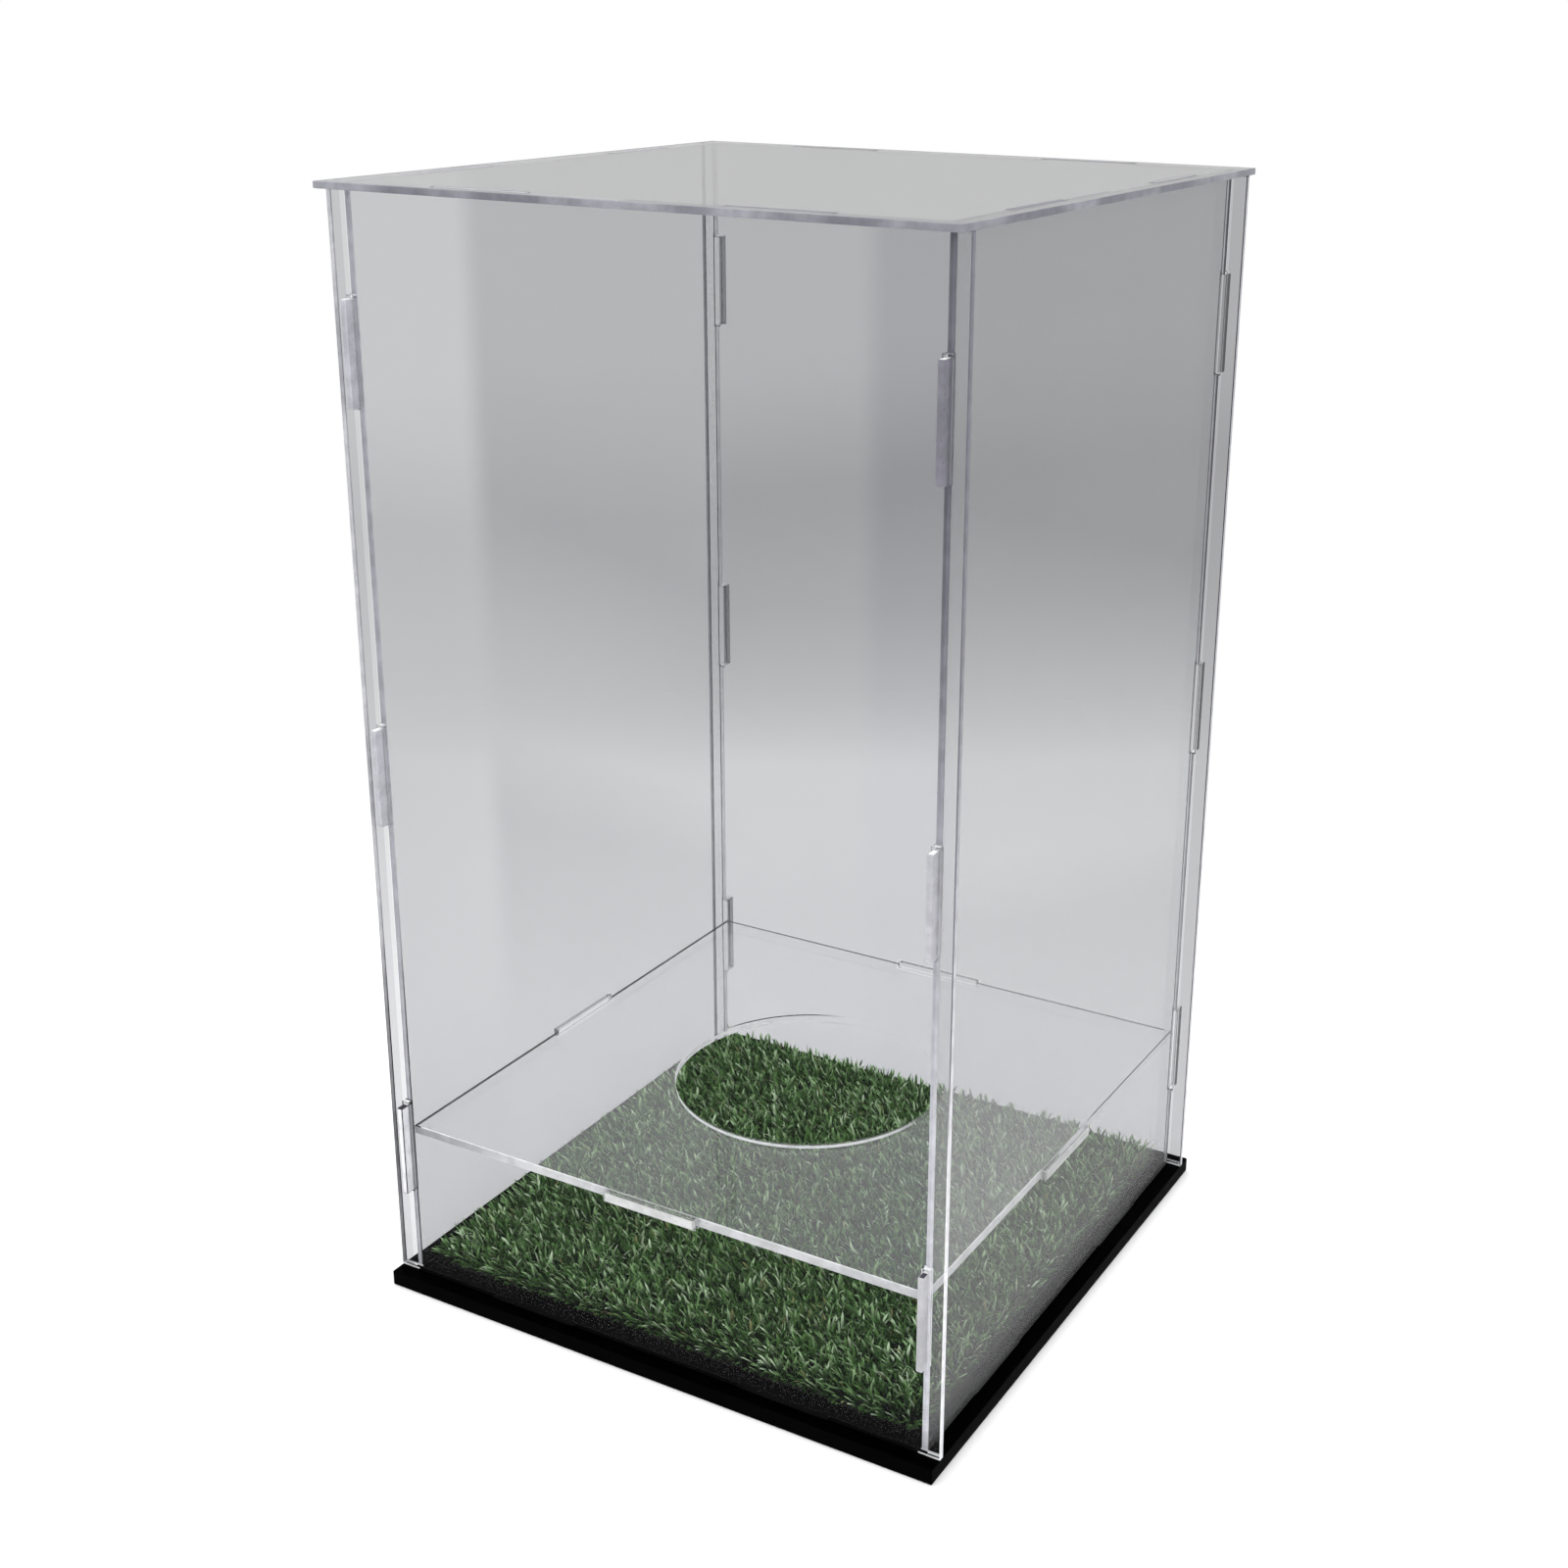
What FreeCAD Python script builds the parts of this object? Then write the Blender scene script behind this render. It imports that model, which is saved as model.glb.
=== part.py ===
import FreeCAD, Part
import os
import re
import Sketcher

# Football display case: acrylic sheets held together by tabs in slots, over a square of turf.
# Millimetres, +Z up, front panel towards -Y, origin at the middle of the base plate's underside.

sizes = {
    "base_width": 200,          # base plate and lid, left to right; the front and back panels are as wide
    "base_depth": 200,          # base plate and lid, front to back
    "base_thickness": 5,
    "wall_inset": 5,            # from the edge of the base to the outer face of each wall
    "wall_thickness": 2,
    "wall_height": 346,         # from the top of the base to the underside of the lid
    "lid_thickness": 2,
    "corner_tab_height": 31,    # tabs of the side panels, three to an upright edge
    "corner_tab_inset": 30,     # from the end of that edge to its first tab
    "corner_tab_reach": 3,      # how far these tabs stand out of the front and back panels
    "edge_tab_length": 31,      # tabs of the walls in the lid and in the base, two to an edge
    "edge_tab_inset": 31,       # from the inner corner of the case to the tab
    "base_tab_gap": 0.5,        # from the end of a tab up inside the base to the underside of the base
    "shelf_height": 50,         # from the top of the base to the underside of the shelf
    "shelf_thickness": 3,
    "shelf_gap": 0.25,          # between the shelf's edge and each wall
    "shelf_tab_length": 32,     # one tab in the middle of each side
    "shelf_tab_reach": 0.5,     # how far it stands out of the wall
    "hole_diameter": 90,        # seat of the ball
    "tab_clearance": 0.15,      # across the thickness of a tab, on each side
    "tab_end_clearance": 0.5,   # at each end of a tab along its edge
    "tab_headroom": 0.85,       # above a corner tab in its slot
    "turf_margin": 5.5,         # bare base between the walls and the turf
    "backing_thickness": 1.5,
    "pile_height": 8.5,
}

doc = FreeCAD.newDocument("football_display_case")
sheet = doc.addObject("Spreadsheet::Sheet", "Sizes")
for row, (word, value) in enumerate(sizes.items(), start=1):
    sheet.set("A%d" % row, word)
    sheet.set("B%d" % row, str(value))
    sheet.setAlias("B%d" % row, word)
doc.recompute()

# Distances that several pieces share, from the middle of the case
outer_x = "(base_width / 2 - wall_inset)"
outer_y = "(base_depth / 2 - wall_inset)"
inner_x = "(base_width / 2 - wall_inset - wall_thickness)"
inner_y = "(base_depth / 2 - wall_inset - wall_thickness)"
base_tab_depth = "(base_thickness - base_tab_gap)"

upright_facing_front = FreeCAD.Rotation(FreeCAD.Vector(1, 0, 0), 90)
upright_facing_side = FreeCAD.Rotation(FreeCAD.Vector(1, 1, 1), 120)


def bind(item, field, text):
    """Tie a field to a formula, each word of which is a cell of the sheet."""
    item.setExpression(field, re.sub(r"[a-z_]+", lambda word: "Sizes." + word.group(), text))


def place(piece, x="0", y="0", z="0"):
    for axis, text in (("x", x), ("y", y), ("z", z)):
        bind(piece, "Placement.Base." + axis, text)


def draw_rectangle(sketch, left, low, wide, tall):
    """A rectangle tied to the sketch's origin by its lower left corner."""
    first = sketch.GeometryCount
    corners = [FreeCAD.Vector(x, y, 0) for x, y in ((1, 1), (2, 1), (2, 2), (1, 2))]
    for start in range(4):
        sketch.addGeometry(Part.LineSegment(corners[start], corners[(start + 1) % 4]))
    for side in range(4):
        sketch.addConstraint(Sketcher.Constraint("Coincident", first + side, 2, first + (side + 1) % 4, 1))
        way = ("Horizontal", "Vertical")[side % 2]
        sketch.addConstraint(Sketcher.Constraint(way, first + side))
    ties = [
        ("left", left, Sketcher.Constraint("DistanceX", -1, 1, first, 1, 1.0)),
        ("low", low, Sketcher.Constraint("DistanceY", -1, 1, first, 1, 1.0)),
        ("wide", wide, Sketcher.Constraint("DistanceX", first, 1, first, 2, 1.0)),
        ("tall", tall, Sketcher.Constraint("DistanceY", first + 1, 1, first + 1, 2, 1.0)),
    ]
    for word, text, tie in ties:
        name = "%s_%d" % (word, first)
        sketch.renameConstraint(sketch.addConstraint(tie), name)
        bind(sketch, "Constraints." + name, text)


def new_sketch(body, name):
    sketch = body.newObject("Sketcher::SketchObject", body.Name + "_" + name)
    flat = [plane for plane in body.Origin.OriginFeatures if plane.Role == "XY_Plane"]
    sketch.AttachmentSupport = [(flat[0], "")]
    sketch.MapMode = "FlatFace"
    return sketch


def rectangles_sketch(body, name, rectangles):
    sketch = new_sketch(body, name)
    for rectangle in rectangles:
        draw_rectangle(sketch, *rectangle)
    return sketch


def add_layer(body, name, rectangles, thickness):
    """Rectangles of sheet, drawn flat and raised to the sheet's thickness."""
    pad = body.newObject("PartDesign::Pad", body.Name + "_" + name + "_pad")
    pad.Profile = rectangles_sketch(body, name, rectangles)
    bind(pad, "Length", thickness)
    doc.recompute()


def cut_through(body, sketch):
    """A cut through the whole sheet, which has to take material away."""
    volume = body.Shape.Volume
    pocket = body.newObject("PartDesign::Pocket", sketch.Name + "_cut")
    pocket.Profile = sketch
    pocket.Type = "ThroughAll"
    pocket.Reversed = True
    doc.recompute()
    if body.Shape.Volume >= volume:
        raise ValueError(pocket.Name + " takes nothing away")


def sheet_piece(label, thickness, outline, tabs=(), slots=()):
    """One piece of acrylic: an outline, the tabs that grow from its edges, and its slots."""
    body = doc.addObject("PartDesign::Body", label)
    add_layer(body, "outline", [outline], thickness)
    if tabs:
        add_layer(body, "tabs", tabs, thickness)
    if slots:
        cut_through(body, rectangles_sketch(body, "slots", slots))
    return body


def block_piece(label, wide, deep, tall):
    """A plain block, centred left to right and front to back by its Placement."""
    block = doc.addObject("Part::Box", label)
    for field, text in (("Length", wide), ("Width", deep), ("Height", tall)):
        bind(block, field, text)
    return block


def corner_tab_levels():
    """Heights of the lower ends of the corner tabs, above the top of the base."""
    lowest = "corner_tab_inset"
    middle = "(wall_height / 2 - corner_tab_height / 2)"
    highest = "(wall_height - corner_tab_inset - corner_tab_height)"
    return lowest, middle, highest


def edge_tab_starts(inner):
    """Where the two tabs of an edge begin, along that edge."""
    return "-%s + edge_tab_inset" % inner, "%s - edge_tab_inset - edge_tab_length" % inner


def edge_tabs(inner):
    """Tabs of a wall into the lid and into the base."""
    tabs = []
    for start in edge_tab_starts(inner):
        tabs.append((start, "wall_height", "edge_tab_length", "lid_thickness"))
        tabs.append((start, "-" + base_tab_depth, "edge_tab_length", base_tab_depth))
    return tabs


def edge_slots():
    """Slots of the lid and of the base, for the tabs of all four walls."""
    along = "edge_tab_length + 2 * tab_end_clearance"
    across = "wall_thickness + 2 * tab_clearance"
    slots = []
    for row in ("-" + outer_y + " - tab_clearance", inner_y + " - tab_clearance"):
        slots += [(start + " - tab_end_clearance", row, along, across) for start in edge_tab_starts(inner_x)]
    for row in ("-" + outer_x + " - tab_clearance", inner_x + " - tab_clearance"):
        slots += [(row, start + " - tab_end_clearance", across, along) for start in edge_tab_starts(inner_y)]
    return slots


def shelf_slot():
    """Slot of a wall for the shelf's tab, which rests on its lower edge."""
    left = "-shelf_tab_length / 2 - tab_end_clearance"
    wide = "shelf_tab_length + 2 * tab_end_clearance"
    return left, "shelf_height", wide, "shelf_thickness + tab_clearance"


def corner_slots():
    """Slots of the front and back panels for the corner tabs."""
    wide = "wall_thickness + 2 * tab_clearance"
    tall = "corner_tab_height + tab_clearance + tab_headroom"
    slots = []
    for left in ("-" + outer_x + " - tab_clearance", inner_x + " - tab_clearance"):
        slots += [(left, level + " - tab_clearance", wide, tall) for level in corner_tab_levels()]
    return slots


def corner_tabs():
    """Tabs of a side panel, through the front and back panels and out beyond them."""
    reach = "wall_thickness + corner_tab_reach"
    tabs = []
    for left in ("-" + outer_y + " - corner_tab_reach", inner_y):
        tabs += [(left, level, reach, "corner_tab_height") for level in corner_tab_levels()]
    return tabs


def shelf_tabs():
    reach = "wall_thickness + shelf_gap + shelf_tab_reach"
    start = "-shelf_tab_length / 2"
    tabs = []
    for left in ("-" + outer_x + " - shelf_tab_reach", inner_x + " - shelf_gap"):
        tabs.append((left, start, reach, "shelf_tab_length"))
    for low in ("-" + outer_y + " - shelf_tab_reach", inner_y + " - shelf_gap"):
        tabs.append((start, low, "shelf_tab_length", reach))
    return tabs


# Base plate, with the slots that locate the walls
plate_outline = ("-base_width / 2", "-base_depth / 2", "base_width", "base_depth")
base_plate = sheet_piece("base_plate", "base_thickness", plate_outline, slots=edge_slots())

# Turf mat in the middle of the base: a woven backing and its pile
turf_wide = "2 * (%s - turf_margin)" % inner_x
turf_deep = "2 * (%s - turf_margin)" % inner_y
turf_backing = block_piece("turf_backing", turf_wide, turf_deep, "backing_thickness")
turf_pile = block_piece("turf_pile", turf_wide, turf_deep, "pile_height")
for mat, level in ((turf_backing, "base_thickness"), (turf_pile, "base_thickness + backing_thickness")):
    place(mat, "turf_margin - " + inner_x, "turf_margin - " + inner_y, level)

# Front and back panels, drawn flat, then stood up with their thickness towards the front
front_outline = ("-base_width / 2", "0", "base_width", "wall_height")
for label, inside in (("front_panel", "-" + inner_y), ("back_panel", outer_y)):
    panel = sheet_piece(
        label, "wall_thickness", front_outline, edge_tabs(inner_x), corner_slots() + [shelf_slot()]
    )
    panel.Placement.Rotation = upright_facing_front
    place(panel, y=inside, z="base_thickness")

# Side panels, between the front and back panels, with their thickness towards the right
side_outline = ("-" + inner_y, "0", "2 * " + inner_y, "wall_height")
for label, leftmost in (("left_panel", "-" + outer_x), ("right_panel", inner_x)):
    panel = sheet_piece(
        label, "wall_thickness", side_outline, edge_tabs(inner_y) + corner_tabs(), [shelf_slot()]
    )
    panel.Placement.Rotation = upright_facing_side
    place(panel, x=leftmost, z="base_thickness")

# Ball shelf, held by one tab in each wall, with a round seat for the tip of the ball
shelf_left = "shelf_gap - " + inner_x
shelf_front = "shelf_gap - " + inner_y
shelf_outline = (shelf_left, shelf_front, "-2 * (%s)" % shelf_left, "-2 * (%s)" % shelf_front)
ball_shelf = sheet_piece("ball_shelf", "shelf_thickness", shelf_outline, shelf_tabs())
seat = new_sketch(ball_shelf, "seat")
seat.addGeometry(Part.Circle(FreeCAD.Vector(0, 0, 0), FreeCAD.Vector(0, 0, 1), 1))
seat.addConstraint(Sketcher.Constraint("Coincident", 0, 3, -1, 1))
seat.renameConstraint(seat.addConstraint(Sketcher.Constraint("Diameter", 0, 2.0)), "across")
bind(seat, "Constraints.across", "hole_diameter")
cut_through(ball_shelf, seat)
place(ball_shelf, z="base_thickness + shelf_height")

# Lid, on top of the four walls and over their tabs
top_panel = sheet_piece("top_panel", "lid_thickness", plate_outline, slots=edge_slots())
place(top_panel, z="base_thickness + wall_height")

doc.recompute()

for item in doc.Objects:
    if "Invalid" in item.State or "Error" in item.State:
        raise ValueError(item.Name + " did not build")

labels = [
    "base_plate",
    "turf_backing",
    "turf_pile",
    "front_panel",
    "back_panel",
    "left_panel",
    "right_panel",
    "ball_shelf",
    "top_panel",
]
pieces = [doc.getObjectsByLabel(label)[0] for label in labels]
for piece in pieces:
    if piece.Shape.isNull() or not piece.Shape.isValid() or len(piece.Shape.Solids) != 1:
        raise ValueError(piece.Label + " is not one sound solid")

os.makedirs("parts", exist_ok=True)
for piece in pieces:
    piece.Shape.exportStep("parts/" + piece.Label + ".step")
    box = piece.Shape.BoundBox
    print(
        "%-13s %9.0f mm3  x %7.2f %7.2f  y %7.2f %7.2f  z %7.2f %7.2f"
        % (piece.Label, piece.Shape.Volume, box.XMin, box.XMax, box.YMin, box.YMax, box.ZMin, box.ZMax)
    )
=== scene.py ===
import math

import bpy
import numpy as np
from mathutils import Matrix, Vector


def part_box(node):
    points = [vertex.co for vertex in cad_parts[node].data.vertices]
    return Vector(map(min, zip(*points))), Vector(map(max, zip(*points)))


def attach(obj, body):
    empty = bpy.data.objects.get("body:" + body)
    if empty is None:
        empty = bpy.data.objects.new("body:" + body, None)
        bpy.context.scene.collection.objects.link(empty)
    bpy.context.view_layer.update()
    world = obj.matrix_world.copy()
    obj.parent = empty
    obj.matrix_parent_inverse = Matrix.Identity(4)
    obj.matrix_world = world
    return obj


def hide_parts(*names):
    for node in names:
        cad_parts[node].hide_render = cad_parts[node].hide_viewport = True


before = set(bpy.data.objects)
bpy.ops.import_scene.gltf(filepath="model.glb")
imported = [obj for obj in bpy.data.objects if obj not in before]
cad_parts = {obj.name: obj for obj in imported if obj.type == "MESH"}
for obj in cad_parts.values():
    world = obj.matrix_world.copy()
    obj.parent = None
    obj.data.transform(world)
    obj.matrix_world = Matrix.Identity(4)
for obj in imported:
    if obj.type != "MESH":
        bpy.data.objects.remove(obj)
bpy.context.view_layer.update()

print("display case: frame loaded,", len(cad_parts), "solids")


class Wire:
    # a value in a finish: sums, products and the like of wires add their Math nodes
    def __init__(self, finish, socket):
        self.finish = finish
        self.socket = socket

    def maths(self, operation, first, second):
        return self.finish.add("Math", {"operation": operation}, {0: first, 1: second})

    def __add__(self, other):
        return self.maths("ADD", self, other)

    def __sub__(self, other):
        return self.maths("SUBTRACT", self, other)

    def __rsub__(self, other):
        return self.maths("SUBTRACT", other, self)

    def __mul__(self, other):
        return self.maths("MULTIPLY", self, other)

    def __gt__(self, other):
        return self.maths("GREATER_THAN", self, other)

    def __or__(self, other):
        return self.maths("MAXIMUM", self, other)

    __radd__ = __add__
    __rmul__ = __mul__


class Finish:
    # a node tree that is filled one node at a time
    def __init__(self, name, world=False):
        self.owner = bpy.data.worlds.new(name) if world else bpy.data.materials.new(name)
        self.owner.use_nodes = True
        self.tree = self.owner.node_tree
        self.tree.nodes.clear()

    def add(self, kind, settings=None, sockets=None, out=0):
        node = self.tree.nodes.new("ShaderNode" + kind)
        for key, value in (settings or {}).items():
            if key == "stops":
                ramp = node.color_ramp.elements
                for spare in list(ramp)[1:]:
                    ramp.remove(spare)
                ramp[0].position, ramp[0].color = value[0]
                for position, colour in value[1:]:
                    ramp.new(position).color = colour
            else:
                setattr(node, key, value)
        for key, value in (sockets or {}).items():
            if isinstance(value, Wire):
                self.tree.links.new(value.socket, node.inputs[key])
            else:
                node.inputs[key].default_value = value
        return Wire(self, node.outputs[out]) if len(node.outputs) else None

    def mix(self, factor, first, second, blend="MIX"):
        return self.add("Mix", {"data_type": "RGBA", "blend_type": blend},
                        {0: factor, 6: first, 7: second}, 2)

    def times(self, first, second):
        return self.mix(1.0, first, second, "MULTIPLY")

    def place(self, stretch=(1, 1, 1)):
        spot = self.add("TexCoord", out="Object")
        return self.add("Mapping", {}, {"Vector": spot, "Scale": stretch})

    def grain(self, spot, scale, detail=2.0, rough=0.5):
        return self.add("TexNoise", {}, {"Vector": spot, "Scale": scale, "Detail": detail,
                                         "Roughness": rough})

    def ramp(self, factor, *stops):
        return self.add("ValToRGB", {"stops": stops}, {"Fac": factor})

    def span(self, value, low, high):
        return self.add("MapRange", {"clamp": True, "interpolation_type": "SMOOTHSTEP"},
                        {"Value": value, "From Min": low, "From Max": high})

    def axis(self, letter):
        return self.add("SeparateXYZ", {}, {0: self.add("TexCoord", out="Object")}, letter)

    def bump(self, value, distance, strength):
        return self.add("Bump", {}, {"Height": value, "Distance": distance, "Strength": strength})

    def done(self, surface):
        room = isinstance(self.owner, bpy.types.World)
        self.add("OutputWorld" if room else "OutputMaterial", {}, {"Surface": surface})
        return self.owner

    def paint(self, sockets):
        return self.done(self.add("BsdfPrincipled", {}, sockets))


def shade(red, green, blue):
    return (red, green, blue, 1.0)


# clear acrylic: faces with painted shade, laser-cut edges and their broken arrises with painted light and
# shade
acrylic = {
    "ior": 1.49,
    "lampTint": shade(0.97, 0.97, 0.975),  # what a sheet's face leaves of a lamp's light
    "tints": {                            # painted shade of the room behind: what a sheet leaves of the view, by height
        "front": ((0.150, 0.77), (0.199, 0.82), (0.222, 0.75), (0.269, 0.675), (0.312, 0.755)),
        "frontEnd": ((0.20, 0.98), (0.28, 0.83)),
        "right": ((0.14, 0.68), (0.162, 0.735), (0.188, 0.73), (0.258, 0.50), (0.285, 0.52)),
        "left": ((0.10, 0.585), (0.127, 0.59), (0.157, 0.685), (0.187, 0.645), (0.235, 0.548),
                 (0.29, 0.585)),
        "leftEnd": ((0.015, 0.56), (0.045, 0.595), (0.1375, 0.695), (0.21, 0.69), (0.245, 0.735)),
        "back": ((0.08, 0.61), (0.142, 0.70), (0.20, 0.535), (0.247, 0.48), (0.287, 0.567)),
        "lid": ((0.0, 0.86), (1.0, 0.86)),
        "shelf": ((0.0, 0.975), (1.0, 0.975))},
    "cast": (0.004, 0.012),               # how much more green and blue than red
    # how the painted shades' heights fall along x and y
    "slants": {"front": (-0.17, 0), "right": (0, 0.29), "left": (0, 0.50), "back": (-0.19, 0)},
    "endSpans": {"front": (0.068, 0.078), "left": (-0.036, -0.050)},  # where a sheet's end begins
    # painted shade, times the sheet's own, on the tabs that stand out of the far sheets
    "proudPaintedShade": {"left": shade(0.85, 0.85, 0.85), "right": shade(0.30, 0.30, 0.31),
                   "shelf": shade(0.37, 0.37, 0.37)},
    "wingPaintedShade": (shade(0.72, 0.72, 0.725), shade(0.95, 0.95, 0.955)),  # painted shade of the wings, times the sheet's own, or alone
    # index of refraction, specular tint, coat and clearness: walls of little glare, the right one hazy
    "walls": (1.05, shade(0.15, 0.15, 0.16), 0.0, 0.994),
    "hazy": (1.05, shade(0.15, 0.15, 0.16), 0.0, 0.913),
    "top": (1.49, shade(0.15, 0.15, 0.16), 0.0, 1.0),
    "coatRough": 0.02,
    "smearSize": 16.0,                    # wiped patches
    "smearStretch": (1, 1, 0.6),
    "smearSpan": (0.5, 0.8),              # of the noise, from none to all
    "smearTone": shade(0.90, 0.91, 0.92),
    "smearShare": 0.06,
    "hairStretch": (900, 900, 35),        # fine upright scratches
    "hairSpan": (0.66, 0.8),
    "faceRough": (0.004, 0.016, 0.02),    # polished, and more in patches and scratches
    "edgeSpan": (0.06, 0.285),            # heights between which an upright edge changes
    "lineSpan": (0.095, 0.135),           # and its arrises
    "edgeTones": {                        # painted light and shade of the cut edges, low and high, at each upright corner
        "frontLeft": (shade(0.52, 0.52, 0.56), shade(0.42, 0.42, 0.46)),
        "frontRight": (shade(0.78, 0.78, 0.82), shade(0.195, 0.193, 0.225)),
        "backLeft": (shade(0.66, 0.66, 0.68), shade(0.46, 0.46, 0.49)),
        "backRight": (shade(0.60, 0.60, 0.63), shade(0.42, 0.42, 0.45))},
    "lineTones": {                        # the same painted light and shade for the broken arrises
        "frontLeft": (shade(0.03, 0.03, 0.035), shade(0.50, 0.50, 0.54)),
        "frontRight": (shade(0.82, 0.83, 0.83), shade(0.15, 0.15, 0.18)),
        "backLeft": (shade(0.36, 0.36, 0.38), shade(0.17, 0.17, 0.18)),
        "backRight": (shade(0.12, 0.12, 0.13), shade(0.04, 0.04, 0.05))},
    "lowTabs": (shade(0.84, 0.84, 0.88), shade(0.47, 0.47, 0.49)),  # painted light and shade of the lowest front tabs, left and right
    "wingEnd": (shade(0.45, 0.45, 0.47), shade(0.85, 0.85, 0.87)),  # painted shade and light of the wing's end, low and high, at the front left
    # the lid's clear edge, painted in greys of shade
    "lidEdge": (shade(0.18, 0.18, 0.21), shade(0.30, 0.30, 0.335)),
    "lidPatchSize": 34.0,                 # of those two greys
    "lidPatchSpan": (0.40, 0.62),
    # painted highlight and glow: on ledges, on the wings' feet and on the shelf's arrises
    "white": shade(0.90, 0.91, 0.91),
    "shaded": shade(0.0015, 0.0015, 0.002),
    "gapShade": shade(0.05, 0.045, 0.06),    # painted shade of the gaps above the lowest front tabs, on their ledges
    "slotLine": shade(0.50, 0.51, 0.51),  # arrises of the shelf's slots and tabs
    "slotFaint": 0.96,                    # how far those at the back and left fade
    "slotClear": 0.76,                    # and the outer arrises of the back sheet's other slots
    "tabLine": shade(0.40, 0.40, 0.42),   # arrises of the side sheets' back tabs
    "behind": shade(0.04, 0.04, 0.05),    # painted shade on the ends of the tabs in the far sheets
    "behindClear": 0.58,                  # and how clear they are
    "heldClear": 0.35,                    # how clear the edges against the back sheet are
    "heldLine": 0.0939,                   # beyond this they are a line at the back right
    "heldTones": (shade(0.36, 0.36, 0.38), shade(0.05, 0.05, 0.06)),  # painted shade of that line, low and high
    "edgeGloss": 0.10,
    "rippleSize": 1900.0,                 # marks of the cutter
    "cloudSize": 190.0,
    "edgeBurn": 0.45,                     # what the cutter's specks leave of an edge's tone
    "burnSpan": (0.66, 0.74),
    "edgeWorn": 0.80,                     # and the cloudy patches
    "wornSpan": (0.35, 0.65),
    "edgeBump": (0.00006, 0.5),           # depth and strength of the cutter's marks
    "edgeRough": (0.24, 0.22),
    "edgeBreak": 0.00026,                 # bevel along every cut edge
    "breakSteps": 2,
    "breakAngle": 40,                     # degrees that it turns by, at least
    "standHeight": 0.0053,                # edges below this stand on or in the base
    "footHeight": 0.0058,                 # a corner's foot is painted in a white glow below this
    "topHeight": 0.350,                   # edges above this are under the lid
    "shelfReach": 0.05,                   # slots for the shelf lie within this
    "tabReach": 0.08,                     # tabs and slots of the corners lie beyond this
    "farSide": 0.09,                      # the far sheets' slots lie beyond this
    "corner": 0.0929,                     # side sheets stand beyond this
    "inner": 0.093,                       # where the side sheets meet the front and back ones
    "outer": 0.0935,                      # the back sheet's outer face lies beyond this
    "wing": 0.0951,                       # front and back sheets pass the sides beyond this
    "end": 0.0985,                        # and end beyond this
    "lowTabLevels": (0.01, 0.12),
    "slotFloor": 0.055,                   # where the shelf's tabs rest
    "slotLevels": (0.050, 0.062),
    "hairGap": 0.00005,                   # keeps two clear faces from lying in one plane
    "sameLevel": 0.00001,                 # levels closer than this are one
}


def clearStops(sheet):
    green, blue = acrylic["cast"]
    return [(level, shade(grey, grey + green, grey + blue)) for level, grey in acrylic["tints"][sheet]]


def clearFace(sheet, gloss):
    f = Finish("clear_%s_face" % sheet)
    x, y = f.axis("X"), f.axis("Y")
    smear = f.grain(f.place(acrylic["smearStretch"]), acrylic["smearSize"], 3.0, 0.55)
    hair = f.grain(f.place(acrylic["hairStretch"]), 1.0, 2.0, 0.6)
    slant = acrylic["slants"].get(sheet, (0, 0))
    # painted shade: the tint darkens the view by height, with steps of its own at the ends, the proud tabs
    # and the wings
    level = f.axis("Z") + slant[0] * x + slant[1] * y
    tint = f.ramp(level, *clearStops(sheet))
    if sheet == "left":
        end = f.ramp(level, *clearStops("leftEnd"))
        tint = f.mix(f.span(y, *acrylic["endSpans"]["left"]), tint, end)
    if sheet == "front":
        end = f.times(tint, f.ramp(level, *clearStops("frontEnd")))
        tint = f.mix(f.span(x, *acrylic["endSpans"]["front"]), tint, end)
    if sheet in acrylic["proudPaintedShade"]:
        proud = (y > acrylic["wing"]) | ((0 - x) > acrylic["wing"])
        tint = f.mix(proud, tint, f.times(tint, acrylic["proudPaintedShade"][sheet]))
    if sheet in ("front", "back"):
        own = f.times(tint, acrylic["wingPaintedShade"][0])
        wing = f.mix((x * y) > 0, acrylic["wingPaintedShade"][1], own)
        tint = f.mix((x * x) > acrylic["wing"] ** 2, tint, wing)
    tint = f.mix(smear * acrylic["smearShare"], tint, acrylic["smearTone"])
    polish, wiped, scratched = acrylic["faceRough"]
    rough = polish + wiped * f.span(smear, *acrylic["smearSpan"])
    rough = rough + scratched * f.span(hair, *acrylic["hairSpan"])
    ior, glare, coat, clearness = gloss
    glass = f.add("BsdfPrincipled", {}, {"Base Color": tint, "Roughness": rough, "IOR": ior,
                                         "Specular Tint": glare, "Transmission Weight": clearness,
                                         "Coat Weight": coat, "Coat Roughness": acrylic["coatRough"]})
    through = f.add("BsdfTransparent", {}, {"Color": acrylic["lampTint"]})
    lamp = f.add("LightPath", out="Is Shadow Ray") | f.add("LightPath", out="Is Diffuse Ray")
    return f.done(f.add("MixShader", {}, {0: lamp, 1: glass, 2: through}))


def cornerTone(f, tones, span):
    # each upright corner has its own pair of painted tones of light and shade, what stands on the base is
    # painted in its shade, and the wings' feet in a painted white glow
    x, y, z = f.axis("X"), f.axis("Y"), f.axis("Z")
    rise = f.span(z, *span)
    back = y > 0
    left = f.mix(back, f.mix(rise, *tones["frontLeft"]), f.mix(rise, *tones["backLeft"]))
    right = f.mix(back, f.mix(rise, *tones["frontRight"]), f.mix(rise, *tones["backRight"]))
    standing = 1 - (z > acrylic["standHeight"])
    wing = (x * x) > acrylic["wing"] ** 2
    tone = f.mix(standing, f.mix(x > 0, left, right), acrylic["shaded"])
    return f.mix(standing * wing, tone, acrylic["white"])


def between(value, low, high):
    return (value > low) * (1 - (value > high))


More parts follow.
